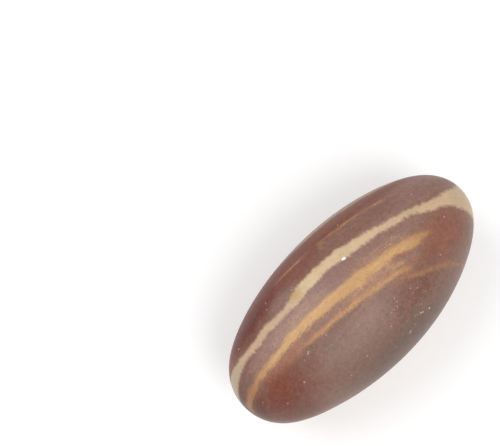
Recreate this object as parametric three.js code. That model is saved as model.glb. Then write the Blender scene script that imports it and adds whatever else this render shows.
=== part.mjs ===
// River pebble: one smooth, water-worn stone, a long ellipsoid lying on its side.
// Millimetres, +Z up. +X runs along the stone to its slimmer end, and the origin is on the
// surface that it rests on, under the middle of its box.
import * as THREE from "three";
import { mergeVertices } from "three/addons/utils/BufferGeometryUtils.js";

// Overall size of the stone
const LENGTH = 76;
const WIDTH = 37.9;
const HEIGHT = 34;

// How deep the lowest point is worn away, which leaves the small flat that the stone rests on
const FOOT_DEPTH = 0.25;

// How the girth departs from a plain ellipsoid's: both ends are blunter, the -X end more so
const BLUNT_ENDS = 0.3;
const SLIM_END = 0.155;

// Broad shallow swells left by uneven wear: the direction that each runs in, its phase and height
const SWELLS = [
  { run: new THREE.Vector3(2.6, 1.9, -1.4), phase: 0.7, height: 0.09 },
  { run: new THREE.Vector3(-3.3, 2.2, 2.5), phase: 2.1, height: 0.07 },
  { run: new THREE.Vector3(4.6, -2.7, 1.6), phase: 4.4, height: 0.05 },
];

// Splits along each edge of the icosahedron that the surface starts as: 20 * 17 * 17 triangles
const EDGE_SPLITS = 16;

// Colour and polish of the banded jasper, seen as one tone
const STONE_COLOUR = 0x96756a;
const STONE_ROUGHNESS = 0.42;

// Girth at a place along the stone, from -1 to 1, as a share of a plain ellipsoid's there
function girthShare(along) {
  return Math.sqrt(1 - SLIM_END * along ** 3 + BLUNT_ENDS * along ** 6);
}

// Height of the worn swells in a direction out of the stone's middle
function swellHeight(outward) {
  return SWELLS.reduce(
    (sum, { run, phase, height }) => sum + height * Math.cos(run.dot(outward) + phase),
    0,
  );
}

// Moves a point of the unit sphere to its place on the stone, around the stone's middle
function toStone(point) {
  const outward = point.clone().normalize();
  const girth = girthShare(outward.x);
  point.set(
    (LENGTH / 2) * outward.x,
    (WIDTH / 2) * girth * outward.y,
    (HEIGHT / 2) * girth * outward.z,
  );
  return point.addScaledVector(outward, swellHeight(outward));
}

// Stretches the surface to exactly the overall size, standing FOOT_DEPTH below the surface
function fitToSize(geometry) {
  geometry.computeBoundingBox();
  const { min, max } = geometry.boundingBox;
  const made = max.clone().sub(min);
  geometry.translate(-(min.x + max.x) / 2, -(min.y + max.y) / 2, -min.z);
  geometry.scale(LENGTH / made.x, WIDTH / made.y, (HEIGHT + FOOT_DEPTH) / made.z);
  geometry.translate(0, 0, -FOOT_DEPTH);
}

// Wears away what is left below the surface, so that the stone has a flat to rest on
function wearFoot(geometry) {
  const { position } = geometry.attributes;
  for (let i = 0; i < position.count; i += 1) {
    position.setZ(i, Math.max(position.getZ(i), 0));
  }
}

function pebbleGeometry() {
  const sphere = new THREE.IcosahedronGeometry(1, EDGE_SPLITS);
  sphere.deleteAttribute("normal");
  sphere.deleteAttribute("uv");
  const geometry = mergeVertices(sphere);
  const { position } = geometry.attributes;
  const point = new THREE.Vector3();
  for (let i = 0; i < position.count; i += 1) {
    toStone(point.fromBufferAttribute(position, i));
    position.setXYZ(i, point.x, point.y, point.z);
  }
  fitToSize(geometry);
  wearFoot(geometry);
  geometry.computeVertexNormals();
  return geometry;
}

function stoneMaterial() {
  return new THREE.MeshStandardMaterial({
    color: STONE_COLOUR,
    roughness: STONE_ROUGHNESS,
    metalness: 0,
  });
}

const pebble = new THREE.Mesh(pebbleGeometry(), stoneMaterial());
pebble.name = "pebble";

const stone = new THREE.Group();
stone.add(pebble);

export default stone;
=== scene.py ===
import math
from types import SimpleNamespace

import bpy
import numpy as np
from mathutils import Matrix, Vector, noise


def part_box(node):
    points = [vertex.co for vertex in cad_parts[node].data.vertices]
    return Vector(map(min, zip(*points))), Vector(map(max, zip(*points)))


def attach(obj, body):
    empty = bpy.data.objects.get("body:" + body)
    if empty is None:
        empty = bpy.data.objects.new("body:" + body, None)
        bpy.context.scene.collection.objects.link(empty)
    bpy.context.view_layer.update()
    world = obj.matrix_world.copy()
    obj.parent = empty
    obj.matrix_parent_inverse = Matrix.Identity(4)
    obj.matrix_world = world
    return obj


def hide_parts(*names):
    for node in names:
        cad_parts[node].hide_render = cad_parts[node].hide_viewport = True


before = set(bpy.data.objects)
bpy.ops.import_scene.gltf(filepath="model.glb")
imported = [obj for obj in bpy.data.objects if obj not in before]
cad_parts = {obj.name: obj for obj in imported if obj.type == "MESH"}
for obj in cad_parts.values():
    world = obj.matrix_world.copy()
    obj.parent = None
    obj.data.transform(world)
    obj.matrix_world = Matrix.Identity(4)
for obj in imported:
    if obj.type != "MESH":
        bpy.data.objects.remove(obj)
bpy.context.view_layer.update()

MM = 0.001
NODE = "pebble"
SLOT = "banded_stone"
PIECE = "pebble_skin"

# The map that colours are baked to, and the share of its half that each side of the stone fills
BAKE_MAP = "OFBake"
MAP_SHARE = 0.98

# Size of the stone, from the frame
node_low, node_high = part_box(NODE)
LENGTH, WIDTH, HEIGHT = (node_high - node_low) / MM
SURFACE_TO_MIDDLE = HEIGHT / 2

# Shape, as the solid has it: how blunt both ends are and how much slimmer the +X end is, how
# deep the foot is worn, and the worn swells: the direction each runs in, its phase and height
BLUNT_ENDS = 0.3
SLIM_END = 0.155
FOOT_DEPTH = 0.25
SWELLS = (
    ((2.6, 1.9, -1.4), 0.7, 0.09),
    ((-3.3, 2.2, 2.5), 2.1, 0.07),
    ((4.6, -2.7, 1.6), 4.4, 0.05),
)

# Quads across the stone on each side of the grid that the surface is made of; along it, twice
# as many. Corners that are the same to a millionth are joined, and no length that something is
# divided by is taken as less than a tiny one.
GRID = 96
MILLIONTHS = 1e6
TINY = 1e-9

# Fine relief, in mm: size and height of two kinds of unevenness, and the pits of a worn skin
UNEVEN = ((5.0, 0.03), (1.3, 0.008))
PITS = 170
PIT_RADIUS = (0.35, 0.8)
PIT_DEPTH = (0.015, 0.05)
SEED = 7

# Knocks and scratches on the upper side: x, y, length, width, turn in degrees, whiteness
MARKS = (
    (3.3, 7.6, 1.5, 0.9, -12, 1.0),
    (-10.8, 8.2, 0.7, 0.4, 30, 0.6),
    (-10.4, 11.3, 0.9, 0.25, -25, 0.45),
    (-15.3, 6.3, 0.5, 0.3, 0, 0.4),
    (13.4, 2.0, 0.6, 0.4, -30, 0.45),
    (14.9, 3.0, 0.4, 0.3, 0, 0.4),
    (11.9, 2.5, 0.4, 0.3, 0, 0.5),
    (28.1, -2.5, 0.45, 0.3, 45, 0.7),
    (26.7, 6.9, 0.9, 0.25, 90, 0.35),
    (26.7, 6.9, 0.7, 0.25, 0, 0.35),
    (23.1, 0.3, 0.6, 0.4, 0, 0.35),
    (8.8, 14.5, 0.5, 0.25, 30, 0.5),
    (-16.8, 13.8, 0.6, 0.25, 20, 0.45),
    (-17.8, 12.5, 0.4, 0.4, 0, 0.45),
    (20.5, -8.2, 0.35, 0.35, 0, 0.6),
    (-30.3, -6.7, 0.5, 0.35, 0, 0.3),
    (-24.1, -6.0, 0.6, 0.4, 60, 0.4),
    (-34.3, -2.3, 0.5, 0.35, 0, 0.35),
    (-18.7, -1.9, 1.3, 0.5, 35, 0.28),
    (-20.4, -2.6, 0.7, 0.3, 70, 0.2),
    (-12.7, -2.0, 0.5, 0.5, 0, 0.3),
    (-15.0, -13.0, 0.4, 0.35, 0, 0.4),
    (-9.1, -12.4, 0.7, 0.5, 0, 0.3),
    (2.4, -15.9, 1.1, 0.4, 10, 0.5),
    (4.5, -15.4, 0.6, 0.3, 30, 0.4),
    (4.7, -8.5, 0.8, 0.3, 15, 0.55),
    (4.0, -9.4, 0.7, 0.3, 50, 0.45),
    (3.1, -9.4, 0.4, 0.25, 0, 0.35),
    (4.9, -7.6, 0.7, 0.25, 45, 0.35),
    (9.3, -8.6, 0.45, 0.35, 0, 0.45),
    (7.4, -14.5, 0.5, 0.4, -30, 0.65),
    (7.9, -14.7, 0.6, 0.35, -20, 0.75),
    (9.8, -15.2, 0.5, 0.45, 20, 0.7),
    (-29.1, 10.9, 0.5, 0.4, 20, 0.4),
    (18.7, 11.6, 0.4, 0.3, 0, 0.55),
    (9.0, -9.9, 0.5, 0.35, 70, 0.3),
    (10.7, -9.8, 0.45, 0.35, 20, 0.3),
    (11.8, -11.8, 0.5, 0.4, 40, 0.25),
    (9.0, -13.2, 0.6, 0.35, 10, 0.3),
    (2.0, -9.4, 0.5, 0.3, 15, 0.25),
    (2.8, -9.2, 0.35, 0.3, 0, 0.25),
    (-0.2, -11.6, 0.5, 0.4, 60, 0.25),
    (6.5, -14.2, 0.35, 0.3, 0, 0.35),
    (5.8, -14.0, 0.35, 0.3, 0, 0.3),
    (12.8, -12.2, 0.5, 0.3, -30, 0.22),
)
MARK_DEPTH = 0.06

# How far the whole pattern, with its marks, lies towards +Y from the places listed here, in mm
PATTERN_SHIFT = 0.25

# The slope of the layers: how far each lies towards +Y, in mm, for each mm in h
LAYER_DIP = 0.8

# Noise in the stone: sizes of its grains in mm along, down and through the layers, detail, seed.
# The patterns of two seeds lie this many mm apart for each step between them.
SEED_STEP = 10
NOISES = {
    "mottle": ((3.5, 3.5, 2.7), 2, 3),
    "streaks": ((12, 9, 0.7), 2, 8),
    "teeth": ((0.85, 0.9, 3.1), 3, 15),
    "brush": ((2.6, 2.6, 0.4), 3, 21),
    "grain": ((0.4, 0.4, 0.4), 3, 30),
    "freckle": ((1.1, 1.1, 0.9), 2, 35),
    "chips": ((0.35, 0.35, 0.3), 2, 40),
    "tint": ((1.3, 1.3, 0.8), 3, 50),
}

# How layers stray from planes on the underside: the noise, the h from which it sets in and the h
# at which it is full, and how far it reaches in mm
WANDER = ((26, 26, 26), 1, 60)
WANDER_FROM_TO = (4, -10)
UNDERSIDE_WANDER = 8

# Bands: places along x, and the layers of the upper and the lower edge there. A band tapers out
# where its edges meet or cross.
CREAM_BAND = (
    (-38, 7.4, 0.6),
    (-36, 6.1, 0.5),
    (-34, 4.9, 0.6),
    (-30, 2.8, 0.2),
    (-25.5, 1.3, -1.2),
    (-21.5, 1.1, -1.5),
    (-17.5, -0.2, -2.5),
    (-14.5, -0.7, -2.9),
    (-11.5, 0.0, -3.5),
    (-8.5, 0.6, -3.3),
    (-6.5, 0.45, -3.6),
    (-4.5, 0.3, -3.7),
    (-1.5, -0.2, -3.6),
    (1, -0.4, -4.2),
    (4, -0.95, -5.1),
    (6, -1.7, -5.4),
    (8.5, -2.3, -5.7),
    (13, -3.5, -6.05),
    (15.5, -4.3, -6.4),
    (18.5, -4.5, -6.9),
    (21.5, -4.9, -6.9),
    (24.5, -5.5, -7.8),
    (27.5, -5.85, -8.8),
    (31, -5.6, -9.0),
    (33, -4.8, -10.1),
    (35.5, -4.0, -10.9),
    (37, -2.2, -11.3),
    (38, 0.5, -11.6),
)
OCHRE_BAND = (
    (-38, -1.4, -4.0),
    (-37, -3.0, -4.7),
    (-34.5, -4.2, -5.9),
    (-31.5, -5.0, -6.5),
    (-26, -6.3, -8.0),
    (-22, -7.0, -8.9),
    (-18, -7.1, -9.5),
    (-13, -8.0, -10.5),
    (-8, -8.8, -11.8),
    (-5, -9.2, -12.0),
    (-2, -9.9, -12.7),
    (1, -10.1, -13.4),
    (5, -10.6, -13.4),
    (9, -11.4, -13.5),
    (12, -11.3, -13.4),
    (14.3, -11.7, -13.85),
    (16.5, -11.5, -14.5),
    (18, -11.8, -14.3),
    (19, -12.0, -14.1),
    (21.5, -12.5, -13.5),
    (23, -13.1, -13.1),
    (24, -13.4, -12.8),
)
THIN_BAND = (
    (-22, -11.2, -11.8),
    (-19, -11.6, -12.2),
    (-16.5, -12.3, -12.9),
    (-12, -13.2, -14.0),
    (-7, -14.1, -15.0),
    (-2.5, -14.7, -15.85),
    (2, -15.5, -16.4),
    (7, -16.1, -17.0),
    (10, -16.35, -17.15),
    (12, -16.85, -17.4),
    (13.5, -17.2, -17.45),
    (14.8, -17.1, -17.1),
)
THIN_FORK = (
    (5, -15.4, -15.8),
    (8, -15.35, -15.85),
    (11, -15.1, -15.7),
    (12.6, -15.4, -15.85),
    (13.8, -15.7, -15.7),
)
UPPER_LINE = (
    (-15, 9.3, 9.7),
    (-11, 9.0, 8.2),
    (-6.5, 8.3, 7.4),
    (-2, 7.6, 7.0),
    (0.5, 6.9, 7.0),
    (2, 6.9, 6.4),
    (8, 5.8, 4.9),
    (13, 5.2, 4.4),
    (18, 4.1, 3.4),
    (21, 3.7, 3.2),
    (23, 3.3, 3.6),
)
RIM_BAND = (
    (-38, 17.5, 17.5),
    (-22, 18.2, 17.9),
    (-13, 19.0, 16.9),
    (-6, 18.5, 15.2),
    (-1, 18.0, 14.0),
    (4, 17.5, 13.2),
    (9, 16.9, 12.7),
    (13.5, 16.1, 11.8),
    (18.5, 14.9, 10.8),
    (23.5, 13.7, 10.0),
    (28, 12.4, 9.8),
    (32, 11.3, 9.8),
    (38, 9.0, 9.0),
)
FLANK_LINE = (
    (-38, 19.5, 19.9),
    (-20, 20.9, 20.2),
    (0, 20.6, 19.8),
    (14, 19.2, 18.2),
    (30, 16.0, 15.4),
    (38, 14.5, 14.7),
)

# A faint line on the upper side: its y at places along x, and half its width
FAINT_LINE = (
    (8, -5.0),
    (11, -6.3),
    (13.4, -7.8),
    (15.3, -8.6),
    (17.2, -9.4),
    (19.3, -10.4),
    (21.3, -11.5),
    (22.7, -12.9),
    (24.5, -15.5),
)
FAINT_LINE_HALF = 1.3

# Colours as a screen shows them, 0 to 255
BETWEEN = (138, 106, 94)
ABOVE = (129, 91, 78)
BELOW = (125, 95, 82)
DARK_RED = (108, 44, 22)
# The deep red is painted shade: it darkens the dark red layers further towards the +Y rim.
DEEP_RED_SHADE = (96, 30, 12)
CREAM = (199, 173, 139)
CREAM_SHADE = (187, 158, 129)
CREAM_LIGHT = (206, 184, 142)
CREAM_DUSK = (164, 148, 122)
CREAM_YELLOW = (181, 145, 82)
OCHRE = (193, 152, 105)
OCHRE_SHADE = (158, 114, 78)
OCHRE_HALO = (166, 120, 88)
THIN_OCHRE = (182, 137, 95)
FINE_OCHRE = (180, 132, 74)
OLIVE = (156, 132, 102)
OLIVE_SPOT = (134, 106, 80)
RUST_LINE = (156, 110, 78)
CHALK = (214, 194, 182)
WHITE = (250, 242, 236)
LIGHT_FLECK = (190, 158, 142)
DARK_FLECK = (86, 52, 42)
MAUVE = (134, 99, 98)
RUST = (134, 88, 64)

# Reds above the cream band, partly the stone's own dark red layers and partly painted shade that
# darkens them towards the +Y rim: colour, the layers that it sets in between, and strength
UPPER_REDS_AND_SHADE = (
    (DARK_RED, 3.2, 7.4, 0.95),
    (DEEP_RED_SHADE, 8, 12.5, 0.8),
)

# Small patches of other tints: colour, and the noise at which it is at its full strength
TINTS = ((MAUVE, 0.3), (RUST, -0.3))
TINT_STRENGTH = 0.3

# Flecks through the stone: colour, spacing and radius in mm, and seed; their strength, and the
# share of the radius that is full
FLECKS = (
    (LIGHT_FLECK, 1.15, 0.15, 5),
    (DARK_FLECK, 1.4, 0.22, 11),
)
FLECK_STRENGTH = 0.3
FLECK_HEART = 0.4

# Single patches: the middle in x, y and h, and the reach in x, y and h
CREAM_LIGHT_PATCH = ((-6.5, 9.6, 14.2), (4.5, 2.5, 3))
CREAM_YELLOW_PATCH = ((-10.9, 9.8, 13.8), (3.4, 2.2, 3))
OLIVE_PATCH = ((2.6, 13.8, 11.6), (1.7, 1.9, 2.4))
OLIVE_HEART = ((2.8, 13.4, 12.0), (0.75, 0.6, 1))
WORN_PATCH = ((8, -10.5, 13), (12, 6, 6))

# Polish: mean roughness, strength of the gloss, and height of the fine bumps in mm
MEAN_ROUGHNESS = 0.4
SHINE = 0.32
BUMP = 0.012

# Clouds of other tone in the stone, among them painted shade on the +Y rim and two that are partly
# painted highlight: colour, middle in x, y and h, reach in x, y and h, strength
CLOUDS_AND_PAINTED_LIGHT = (
    # These three darken the +Y rim: partly the stone's own red, partly painted shade.
    ((116, 66, 50), (-5, 14, 11), (13, 4, 6), 0.7),
    ((90, 24, 8), (-24, 13.5, 6), (19, 6.3, 8.5), 1.0),
    ((112, 56, 32), (14, 16, 8), (18, 3.5, 6), 0.7),
    ((132, 104, 94), (-13, 11, 12), (7, 2.5, 5), 0.7),
    ((137, 104, 93), (29, 7, 9), (12, 6, 9), 0.8),
    # Lighter between the cream and ochre bands where the left softbox's gloss falls: partly the
    # stone's tone, partly painted highlight.
    ((154, 122, 104), (-14, 5.5, 15), (13, 2.4, 6), 0.9),
    ((117, 84, 75), (-34, 4, 8), (5, 3, 5), 0.7),
    ((152, 107, 86), (-23, 0.8, 13), (14, 3, 6), 0.9),
    ((172, 132, 106), (6, 0.3, 16.5), (15, 5, 6), 0.85),
    ((150, 102, 74), (11, -5.2, 15.5), (8, 2.2, 4), 0.7),
    ((112, 62, 49), (-28, -4, 9), (18, 8.5, 10), 0.95),
    ((104, 62, 48), (-30, -11, 4), (12, 7, 9), 0.85),
    ((90, 48, 34), (-38, -1, 3), (8, 11, 10), 0.9),
    # Lighter where the right softbox's gloss falls: partly the stone's tone, partly painted
    # highlight.
    ((138, 105, 92), (-3, -6, 16), (8, 4, 5), 0.5),
    ((115, 73, 57), (10, -9, 14), (12, 6, 7), 0.85),
    ((134, 88, 72), (25, -5, 11), (13, 9, 10), 0.9),
    ((126, 80, 60), (19.5, -6, 13), (5, 3, 5), 0.6),
    ((100, 78, 68), (0, -18, 6), (30, 10, 11), 0.9),
    ((128, 82, 70), (30, 1, 9), (5, 4, 5), 0.5),
    ((129, 96, 85), (0, 7, 15.5), (9, 2.5, 4), 0.6),
    ((124, 62, 40), (-28.5, -2, 10.5), (5, 3, 4), 0.5),
    ((130, 86, 73), (15, -1.2, 15.5), (6, 2.2, 4), 0.75),
)

# The photo's size, and the stone's length and middle in it, in pixels; one pixel in mm
PHOTO_WIDTH = 500
PHOTO_HEIGHT = 446
STONE_PIXELS = 308.9
STONE_MIDDLE = (353.9, 297.6)
PIXEL = LENGTH / STONE_PIXELS

# Camera: its turn around the stone and its height above the floor in degrees, its lens and its
# sensor in mm, and how near it still sees, in metres
AZIMUTH = -45.7
ELEVATION = 82.0
LENS = 120.0
SENSOR = 36.0
CLIP_START = 0.01

# Floor: its radius in metres, the corners of its edge, its grey, its roughness, and the light
# that it gives of its own
FLOOR_RADIUS = 4
FLOOR_CORNERS = 96
FLOOR_TONE = 0.75
FLOOR_ROUGHNESS = 0.7
FLOOR_GLOW = 0.26

# Light from all round, and two round lamps: diameter in metres; name, place in metres, watts
WORLD_LIGHT = 0.47
LAMP_SIZE = 0.7
LAMPS = (
    ("right_softbox", (0.01, -0.50, 0.63), 3.9),
    ("left_softbox", (-0.19, 0.51, 0.59), 3.5),
)


def girth_share(along):
    """Girth at a place along the stone, from -1 to 1, as a share of a plain ellipsoid's there."""
    return np.sqrt(1 - SLIM_END * along**3 + BLUNT_ENDS * along**6)


def stone_surface(outward):
    """Points of the stone, in mm around its middle, in the given unit directions."""
    girth = girth_share(outward[:, 0])
    points = outward * (LENGTH / 2, WIDTH / 2, HEIGHT / 2)
    points[:, 1:] *= girth[:, None]
    for run, phase, height in SWELLS:
        points += outward * (height * np.cos(outward @ np.array(run) + phase))[:, None]
    low, high = points.min(0), points.max(0)
    whole = np.array((LENGTH, WIDTH, HEIGHT + FOOT_DEPTH))
    points = (points - (low + high) / 2) * whole / (high - low)
    points[:, 2] -= FOOT_DEPTH / 2
    return points


def cube_face(axis, side):
    """One face of the cube that the surface is blown up from: its points and its quads."""
    across = [i for i in range(3) if i != axis]
    counts = [2 * GRID if i == 0 else GRID for i in across]
    steps = [np.tan(np.linspace(-1, 1, n + 1) * math.pi / 4) for n in counts]
    first, second = np.meshgrid(*steps, indexing="ij")
    points = np.empty((first.size, 3))
    points[:, axis] = side
    points[:, across[0]] = first.ravel()
    points[:, across[1]] = second.ravel()
    index = np.arange(first.size).reshape(first.shape)
    quads = np.stack([index[:-1, :-1], index[1:, :-1], index[1:, 1:], index[:-1, 1:]], -1)
    quads = quads.reshape(-1, 4)
    faces_inward = (side < 0) != (axis == 1)
    if faces_inward:
        quads = quads[:, ::-1]
    return points, quads


def even_grid():
    """Unit directions and quads of the closed grid, with the six faces joined along their edges."""
    points = []
    quads = []
    start = 0
    for axis in range(3):
        for side in (-1, 1):
            face_points, face_quads = cube_face(axis, side)
            points.append(face_points)
            quads.append(face_quads + start)
            start += len(face_points)
    points = np.concatenate(points)
    quads = np.concatenate(quads)
    rounded = np.round(points * MILLIONTHS).astype(np.int64)
    _, kept, place = np.unique(rounded, axis=0, return_index=True, return_inverse=True)
    points = points[kept]
    outward = points / np.linalg.norm(points, axis=1, keepdims=True)
    return outward, place.ravel()[quads]


def dent(distance):
    """Depth of a round-bottomed dent, as a share, at a distance in radii from its middle."""
    return np.clip(1 - distance**2, 0, 1) ** 2


def uneven_depth(points):
    """How far the broad and fine unevenness of the skin goes in at each point."""
    depth = np.zeros(len(points))
    for size, height in UNEVEN:
        waves = [noise.noise(Vector(point / size)) for point in points]
        depth += height * (1 - np.array(waves)) / 2
    return depth


def pit_depth(points):
    """How deep the pits of the worn skin are at each point."""
    chance = np.random.default_rng(SEED)
    depth = np.zeros(len(points))
    for middle in points[chance.integers(len(points), size=PITS)]:
        radius = chance.uniform(*PIT_RADIUS)
        deepest = chance.uniform(*PIT_DEPTH)
        distance = np.linalg.norm(points - middle, axis=1) / radius
        depth = np.maximum(depth, deepest * dent(distance))
    return depth


def mark_depth(points):
    """How deep the knocks and scratches of the upper side are at each point."""
    depth = np.zeros(len(points))
    for x, y, length, width, turn, white in MARKS:
        aim = math.radians(turn)
        dx = points[:, 0] - x
        dy = points[:, 1] - y - PATTERN_SHIFT
        along = dx * math.cos(aim) + dy * math.sin(aim)
        across = dy * math.cos(aim) - dx * math.sin(aim)
        distance = np.hypot(along / length, across / max(width, length / 2))
        distance[points[:, 2] < 0] = 1
        depth = np.maximum(depth, MARK_DEPTH * white * dent(distance))
    return depth


def make_mesh(name, points, quads):
    """A smooth mesh of these points and quads."""
    mesh = bpy.data.meshes.new(name)
    mesh.vertices.add(len(points))
    mesh.vertices.foreach_set("co", points.astype(np.float32).ravel())
    mesh.loops.add(quads.size)
    mesh.loops.foreach_set("vertex_index", quads.astype(np.int32).ravel())
    mesh.polygons.add(len(quads))
    mesh.polygons.foreach_set("loop_start", np.arange(len(quads), dtype=np.int32) * 4)
    mesh.polygons.foreach_set("use_smooth", np.ones(len(quads), bool))
    mesh.update(calc_edges=True)
    mesh.validate()
    return mesh


def map_two_halves(mesh, outward, quads):
    """Lays the upper half flat in the top of the map and the lower half in its bottom."""
    corners = outward[quads]
    upper = corners[..., 2].mean(1) > 0
    tilt = np.arccos(np.clip(np.abs(corners[..., 2]), 0, 1)) / (math.pi / 2)
    level = corners[..., :2]
    flat = level / np.maximum(np.linalg.norm(level, axis=2), TINY)[..., None]
    flat = flat * tilt[..., None] * MAP_SHARE
    spots = np.empty(flat.shape)
    spots[..., 0] = 0.5 + 0.5 * flat[..., 0]
    spots[..., 1] = 0.25 + 0.25 * flat[..., 1] + 0.5 * upper[:, None]
    uv_map = mesh.uv_layers.new(name=BAKE_MAP)
    uv_map.data.foreach_set("uv", spots.astype(np.float32).ravel())


def to_row(points):
    """Millimetres around the stone's middle to metres in the row frame."""
    return (points + (0, 0, SURFACE_TO_MIDDLE)) * MM


def make_pebble():
    """The stone's visible surface: the solid's form with its fine relief cut into it."""
    outward, quads = even_grid()
    points = stone_surface(outward)
    inward = -outward / (LENGTH, WIDTH, HEIGHT)
    inward /= np.linalg.norm(inward, axis=1, keepdims=True)
    depth = uneven_depth(points) + np.maximum(pit_depth(points), mark_depth(points))
    points = to_row(points + inward * depth[:, None])
    points[:, 2] = np.maximum(points[:, 2], 0)
    mesh = make_mesh(PIECE, points, quads)
    map_two_halves(mesh, outward, quads)
    piece = bpy.data.objects.new(PIECE, mesh)
    bpy.context.scene.collection.objects.link(piece)
    return piece


class Field:
    """A number, place or colour that varies over a surface: a node's output, with arithmetic."""

    def __init__(self, tree, socket):
        self.tree = tree
        self.socket = socket

    def math(self, operation, *others):
        """One of the math node's operations on this and other numbers."""
        inputs = dict(enumerate((self, *others)))
        return add_node(self.tree, "ShaderNodeMath", inputs, operation=operation)

    def __add__(self, other):
        return self.math("ADD", other)

    def __sub__(self, other):
        return self.math("SUBTRACT", other)

    def __mul__(self, other):
        return self.math("MULTIPLY", other)

    def __rsub__(self, other):
        return add_node(self.tree, "ShaderNodeMath", {0: other, 1: self}, operation="SUBTRACT")


def add_node(tree, kind, inputs, output=0, **settings):
    """Adds a node with these settings, feeds its inputs, and gives one of its outputs."""
    node = tree.nodes.new(kind)
    for name, value in settings.items():
        setattr(node, name, value)
    for slot, value in inputs.items():
        if isinstance(value, Field):
            tree.links.new(value.socket, node.inputs[slot])
        else:
            node.inputs[slot].default_value = value
    return Field(tree, node.outputs[output])


def ramp(value, start, end):
    """Rises softly from 0 to 1 as a value goes from start to end."""
    inputs = {"Value": value, "From Min": start, "From Max": end}
    return add_node(value.tree, "ShaderNodeMapRange", inputs, interpolation_type="SMOOTHSTEP")


def curve(value, points):
    """A smooth curve through points that give the result at places of the value."""
    result = add_node(value.tree, "ShaderNodeFloatCurve", {"Value": value})
    mapping = result.socket.node.mapping
    mapping.use_clip = False
    line = mapping.curves[0]
    for point, place in zip(line.points, points[:2]):
        point.location = place
    for place in points[2:]:
        line.points.new(*place)
    mapping.update()
    return result


def screen_colour(levels):
    """A colour given as a screen shows it, 0 to 255, as the shader takes it."""
    shares = [level / 255 for level in levels]
    return (*[s / 12.92 if s <= 0.04045 else ((s + 0.055) / 1.055) ** 2.4 for s in shares], 1)


def paint(under, over, mask, strength=1):
    """Lays a colour over another, with this strength where the mask is 1."""
    if strength < 1:
        mask = mask * strength
    inputs = {
        0: mask,
        6: under if isinstance(under, Field) else screen_colour(under),
        7: over if isinstance(over, Field) else screen_colour(over),
    }
    return add_node(mask.tree, "ShaderNodeMix", inputs, output=2, data_type="RGBA")


def stone_places(tree):
    """Where a place of the surface lies in the stone: x, y and h, and its layer."""
    coordinates = tree.nodes.new("ShaderNodeTexCoord")
    local = Field(tree, coordinates.outputs["Object"])
    inputs = {0: local, 1: (1 / MM,) * 3, 2: (0, -PATTERN_SHIFT, -SURFACE_TO_MIDDLE)}
    place = add_node(tree, "ShaderNodeVectorMath", inputs, operation="MULTIPLY_ADD")
    parts = tree.nodes.new("ShaderNodeSeparateXYZ")
    tree.links.new(place.socket, parts.inputs[0])
    x, y, h = [Field(tree, socket) for socket in parts.outputs]
    layer = y - h * LAYER_DIP
    return SimpleNamespace(tree=tree, local=local, place=place, x=x, y=y, h=h, layer=layer)


def pattern_places(stone, sizes, turn, seed):
    """Places for a pattern whose grains have these sizes in mm, its frame turned about x."""
    inputs = {
        "Vector": stone.local,
        "Location": (seed * SEED_STEP * MM, 0, SURFACE_TO_MIDDLE * MM),
        "Rotation": (turn, 0, 0),
        "Scale": [size * MM for size in sizes],
    }
    return add_node(stone.tree, "ShaderNodeMapping", inputs, vector_type="TEXTURE")


def cells(stone, sizes, detail, seed):
    """Noise around 0, with grains of these sizes in mm along, down and through the layers."""
    places = pattern_places(stone, sizes, math.atan(1 / LAYER_DIP), seed)
    inputs = {"Vector": places, "Scale": 1, "Detail": detail}
    return add_node(stone.tree, "ShaderNodeTexNoise", inputs) - 0.5


def bend_underside(stone):
    """Lets the layers stray from straight planes, more and more towards the underside."""
    wander = cells(stone, *WANDER) * ramp(stone.h, *WANDER_FROM_TO)
    stone.layer = stone.layer + wander * UNDERSIDE_WANDER
    stone.x = stone.x + wander * (2 * UNDERSIDE_WANDER)


def add_frays(noises):
    """Adds the noise that frays the bands' edges: teeth for the cream, strokes for the ochre."""
    noises.serrated = noises.teeth * 1.8 + noises.mottle * 0.6 + noises.grain * 0.5
    noises.brushed = noises.brush * 1.5 + noises.grain * 0.8 + noises.mottle * 0.4


def band(stone, edges, softness, fray):
    """Share of a band at each place: 1 between its edges, which the given noise frays."""
    upper = curve(stone.x, [(x, high) for x, high, low in edges])
    lower = curve(stone.x, [(x, low) for x, high, low in edges])
    layer = stone.layer + fray
    above_lower = ramp(layer, lower - softness, lower + softness)
    below_upper = ramp(layer, upper + softness, upper - softness)
    return above_lower * below_upper


def strip(stone, edges, softness, fray, fade_in=1, fade_out=1):
    """A band that fades out towards both ends of the stretch that its edges are given for."""
    whole = band(stone, edges, softness, fray)
    first, last = edges[0][0], edges[-1][0]
    return whole * (ramp(stone.x, first, first + fade_in) * ramp(stone.x, last, last - fade_out))


def spot(stone, middle, reach):
    """1 in the middle of a round or long spot, down to 0 at its edge."""
    inward = [-place / size for place, size in zip(middle, reach)]
    inputs = {0: stone.place, 1: [1 / size for size in reach], 2: inward}
    scaled = add_node(stone.tree, "ShaderNodeVectorMath", inputs, operation="MULTIPLY_ADD")
    inputs = {0: scaled}
    return 1 - add_node(
        stone.tree, "ShaderNodeVectorMath", inputs, output="Value", operation="LENGTH"
    )


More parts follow.
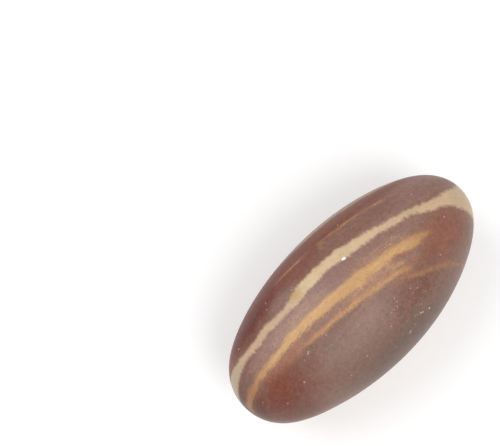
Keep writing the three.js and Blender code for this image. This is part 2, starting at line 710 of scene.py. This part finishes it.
def ground_tone(stone, noises):
    """The stone between the bands: three tones by layer, reds above them that painted shade darkens
    towards the +Y rim, and clouds, among them painted shade on that rim and two partly painted
    highlights.
    """
    thin_middle = curve(stone.x, [(x, (high + low) / 2) for x, high, low in THIN_BAND])
    below = ramp(stone.layer - thin_middle + noises.mottle * 2, 0.8, -0.8)
    above = ramp(stone.layer + noises.mottle * 2, -3.5, -0.5)
    tone = paint(paint(BETWEEN, BELOW, below), ABOVE, above)
    layer = stone.layer + noises.streaks * 3 + noises.mottle * 2
    # Dark reds, partly painted shade towards the +Y rim
    for colour, start, end, strength in UPPER_REDS_AND_SHADE:
        tone = paint(tone, colour, ramp(layer, start, end), strength)
    # Clouds, among them painted shade on the +Y rim and partly painted highlights
    for colour, middle, reach, strength in CLOUDS_AND_PAINTED_LIGHT:
        share = spot(stone, middle, reach) + noises.mottle * 0.5 + noises.streaks * 0.25
        tone = paint(tone, colour, ramp(share, 0, 0.75), strength)
    return tone


def paint_side_bands(stone, noises, tone):
    """The olive band on the +Y rim, and the ochre line on the flank below it."""
    rim = strip(stone, RIM_BAND, softness=0.3, fray=noises.serrated)
    tone = paint(tone, OLIVE, rim, 0.7)
    flank = strip(stone, FLANK_LINE, softness=0.3, fray=noises.brushed)
    return paint(tone, OCHRE_SHADE, flank, 0.7)


def paint_upper_line(stone, noises, tone):
    """The fine, patchy ochre line above the cream band, and the olive spot beside it."""
    upper = strip(stone, UPPER_LINE, softness=0.35, fray=noises.brushed, fade_in=9, fade_out=3)
    patchy = ramp(noises.mottle + noises.streaks * 0.7, -0.2, 0.2) * 0.35 + 0.25
    tone = paint(tone, FINE_OCHRE, upper * patchy)
    olive = spot(stone, *OLIVE_PATCH) + noises.mottle * 0.6
    tone = paint(tone, OLIVE_SPOT, ramp(olive, 0, 0.6), 0.75)
    heart = spot(stone, *OLIVE_HEART) + noises.chips
    return paint(tone, DARK_RED, ramp(heart, 0, 0.6), 0.5)


def paint_faint_line(stone, noises, tone):
    """The faint rust line on the upper side, which fades out towards both its ends."""
    faint_y = curve(stone.x, FAINT_LINE)
    off = (stone.y - faint_y + noises.freckle * 0.7).math("ABSOLUTE")
    faint = ramp(off, FAINT_LINE_HALF, 0) * ramp(stone.h, 0, 3) * ramp(stone.x, 7, 13)
    return paint(tone, RUST_LINE, faint * ramp(stone.x, 25.5, 21), 0.65)


def paint_thin_band(stone, noises, tone):
    """The thin ochre band and its fork, with a faint halo."""
    fades = {"fade_in": 9, "fade_out": 3.5}
    halo = strip(stone, THIN_BAND, softness=1.3, fray=noises.brushed, **fades)
    tone = paint(tone, OCHRE_HALO, halo, 0.4)
    thin = strip(stone, THIN_BAND, softness=0.55, fray=noises.brushed * 0.6, **fades)
    fades = {"fade_in": 7, "fade_out": 1.5}
    fork = strip(stone, THIN_FORK, softness=0.4, fray=noises.brushed * 0.6, **fades)
    return paint(tone, THIN_OCHRE, thin.math("MAXIMUM", fork * 0.85), 0.95)


def paint_ochre_band(stone, noises, tone):
    """The broad ochre band, darker towards its ends, with its halo. Gives its mask too."""
    halo = strip(stone, OCHRE_BAND, softness=1.5, fray=noises.brushed * 2)
    tone = paint(tone, OCHRE_HALO, halo, 0.5)
    ochre = strip(stone, OCHRE_BAND, softness=0.6, fray=noises.brushed)
    blunt_end = ramp(stone.x + noises.mottle * 8, -23, -35)
    slim_end = ramp(stone.x, 12.5, 26.5)
    ochre_tone = paint(OCHRE, OCHRE_SHADE, blunt_end.math("MAXIMUM", slim_end))
    return paint(tone, ochre_tone, ochre, 0.95), ochre


def cream_tone(stone, noises):
    """The cream band's colours: shaded towards its ends, with a light and a yellow patch."""
    blunt_end = ramp(stone.x + noises.mottle * 12, -6, -16)
    slim_end = ramp(stone.x + noises.mottle * 12, 12, 22) * 0.4
    tone = paint(CREAM, CREAM_SHADE, blunt_end.math("MAXIMUM", slim_end))
    tone = paint(tone, CREAM_DUSK, ramp(stone.x, -29, -35), 0.7)
    light = spot(stone, *CREAM_LIGHT_PATCH) + noises.mottle
    tone = paint(tone, CREAM_LIGHT, ramp(light, 0, 0.8), 0.7)
    yellow = spot(stone, *CREAM_YELLOW_PATCH) + noises.mottle * 1.6
    return paint(tone, CREAM_YELLOW, ramp(yellow, 0.1, 0.9), 0.8)


def paint_cream_band(stone, noises, tone):
    """The cream band with its serrated edges. Gives its mask too."""
    cream = band(stone, CREAM_BAND, softness=0.72, fray=noises.serrated)
    return paint(tone, cream_tone(stone, noises), cream), cream


def flecks(stone, spacing, radius, seed):
    """Small dots scattered through the stone."""
    places = pattern_places(stone, (spacing, spacing, spacing), 0, seed)
    inputs = {"Vector": places, "Scale": 1}
    distance = add_node(stone.tree, "ShaderNodeTexVoronoi", inputs, output="Distance")
    return ramp(distance, radius / spacing, FLECK_HEART * radius / spacing)


def paint_tints(stone, noises, tone, calm):
    """Small patches of mauve and rust, which are weaker on the calm bands, and flecks."""
    for colour, full in TINTS:
        tone = paint(tone, colour, ramp(noises.tint, 0, full) * calm, TINT_STRENGTH)
    for colour, spacing, radius, seed in FLECKS:
        tone = paint(tone, colour, flecks(stone, spacing, radius, seed), FLECK_STRENGTH)
    return tone


def dot(vector, other):
    """The dot product of two vectors."""
    inputs = {0: vector, 1: other}
    return add_node(
        vector.tree, "ShaderNodeVectorMath", inputs, output="Value", operation="DOT_PRODUCT"
    )


def mark_mask(stone, chips):
    """How white the knocks and scratches of the upper side are at each place."""
    whitest = None
    for x, y, length, width, turn, white in MARKS:
        inputs = {0: stone.place, 1: (x, y, 0)}
        away = add_node(stone.tree, "ShaderNodeVectorMath", inputs, operation="SUBTRACT")
        aim = math.radians(turn)
        along = dot(away, (math.cos(aim) * 2 / length, math.sin(aim) * 2 / length, 0))
        across = dot(away, (-math.sin(aim) * 2 / width, math.cos(aim) * 2 / width, 0))
        outward = along * along + across * across - chips * 1.5
        share = ramp(outward, 1.1, 0.2) * white
        whitest = share if whitest is None else whitest.math("MAXIMUM", share)
    return whitest * ramp(stone.h, 0, 3)


def paint_marks(tone, white):
    """The chalky knocks and scratches, with the deepest almost white."""
    tone = paint(tone, CHALK, white, 0.95)
    return paint(tone, WHITE, ramp(white, 0.8, 1))


def with_grain(stone, noises, tone, calm):
    """The tone made lighter and darker by the grain, which is strongest in the worn patch."""
    worn = ramp(spot(stone, *WORN_PATCH) + noises.mottle, 0, 0.5) * 0.8 + 1
    fine = (noises.grain * 0.72 + noises.freckle * 0.44) * worn * calm
    shade = fine + noises.mottle * 0.2 + noises.streaks * 0.18 + 1
    inputs = {0: tone, "Scale": shade}
    return add_node(stone.tree, "ShaderNodeVectorMath", inputs, operation="SCALE")


def jasper_material():
    """Banded jasper, softly polished: its layers, clouds, grain, flecks and knocks, with painted
    shade on the +Y rim and painted highlight in two clouds.
    """
    material = bpy.data.materials.new(SLOT)
    material.use_nodes = True
    tree = material.node_tree
    shader = tree.nodes["Principled BSDF"]
    stone = stone_places(tree)
    bend_underside(stone)
    noises = SimpleNamespace(**{name: cells(stone, *kind) for name, kind in NOISES.items()})

    tone = ground_tone(stone, noises)
    add_frays(noises)
    tone = paint_side_bands(stone, noises, tone)
    tone = paint_upper_line(stone, noises, tone)
    tone = paint_faint_line(stone, noises, tone)
    tone = paint_thin_band(stone, noises, tone)
    tone, ochre = paint_ochre_band(stone, noises, tone)
    tone, cream = paint_cream_band(stone, noises, tone)
    calm = (cream * -0.65 + 1) * (ochre * -0.45 + 1)
    tone = paint_tints(stone, noises, tone, calm)
    white = mark_mask(stone, noises.chips)
    tone = paint_marks(tone, white)
    tone = with_grain(stone, noises, tone, calm)

    rough = noises.mottle * 0.1 + noises.grain * 0.1 + white * 0.15 + MEAN_ROUGHNESS
    inputs = {"Strength": 1, "Distance": BUMP * MM, "Height": noises.grain + noises.chips}
    bump = add_node(tree, "ShaderNodeBump", inputs)
    tree.links.new(tone.socket, shader.inputs["Base Color"])
    tree.links.new(rough.socket, shader.inputs["Roughness"])
    tree.links.new(bump.socket, shader.inputs["Normal"])
    shader.inputs["Specular IOR Level"].default_value = SHINE
    return material


def floor_material():
    """A white light table, lit a little from below, so that the shadow on it stays pale."""
    material = bpy.data.materials.new("floor")
    material.use_nodes = True
    shader = material.node_tree.nodes["Principled BSDF"]
    shader.inputs["Base Color"].default_value = (FLOOR_TONE, FLOOR_TONE, FLOOR_TONE, 1)
    shader.inputs["Roughness"].default_value = FLOOR_ROUGHNESS
    shader.inputs["Emission Color"].default_value = (1, 1, 1, 1)
    shader.inputs["Emission Strength"].default_value = FLOOR_GLOW
    return material


def make_floor():
    """The plain round floor."""
    bpy.ops.mesh.primitive_circle_add(vertices=FLOOR_CORNERS, radius=FLOOR_RADIUS, fill_type="NGON")
    floor = bpy.context.object
    floor.name = "floor"
    floor.data.materials.append(floor_material())


def make_lamp(name, place, watts):
    """A round soft light that points at the stone."""
    light = bpy.data.lights.new(name, "AREA")
    light.shape = "DISK"
    light.size = LAMP_SIZE
    light.energy = watts
    lamp = bpy.data.objects.new(name, light)
    bpy.context.scene.collection.objects.link(lamp)
    lamp.location = place
    lamp.rotation_mode = "QUATERNION"
    lamp.rotation_quaternion = Vector(place).to_track_quat("Z", "Y")


def make_world():
    """Even white light from all round."""
    world = bpy.data.worlds.new("studio")
    world.use_nodes = True
    background = world.node_tree.nodes["Background"]
    background.inputs["Color"].default_value = (1, 1, 1, 1)
    background.inputs["Strength"].default_value = WORLD_LIGHT
    bpy.context.scene.world = world


def make_camera():
    """The camera at the photo's angle, with the stone at its place in the picture."""
    turn, rise = math.radians(AZIMUTH), math.radians(ELEVATION)
    right = Vector((math.cos(turn), math.sin(turn), 0))
    back = Vector((
        math.sin(turn) * math.cos(rise),
        -math.cos(turn) * math.cos(rise),
        math.sin(rise),
    ))
    up = back.cross(right)
    middle = Vector((0, 0, SURFACE_TO_MIDDLE))
    distance = PHOTO_WIDTH * PIXEL * LENS / SENSOR
    target = (
        middle
        - right * (STONE_MIDDLE[0] - PHOTO_WIDTH / 2) * PIXEL
        + up * (STONE_MIDDLE[1] - PHOTO_HEIGHT / 2) * PIXEL
    )
    data = bpy.data.cameras.new("camera")
    data.lens = LENS
    data.sensor_width = SENSOR
    data.clip_start = CLIP_START
    camera = bpy.data.objects.new("camera", data)
    place = Matrix.Translation((target + back * distance) * MM)
    aim = Matrix((right, up, back)).transposed().to_4x4()
    camera.matrix_world = place @ aim
    bpy.context.scene.collection.objects.link(camera)
    bpy.context.scene.camera = camera


pebble = make_pebble()
pebble.data.materials.append(jasper_material())
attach(pebble, "root")
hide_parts(NODE)

make_floor()
make_world()
for lamp_name, lamp_place, lamp_watts in LAMPS:
    make_lamp(lamp_name, lamp_place, lamp_watts)
make_camera()

bpy.context.scene.view_settings.view_transform = "Standard"
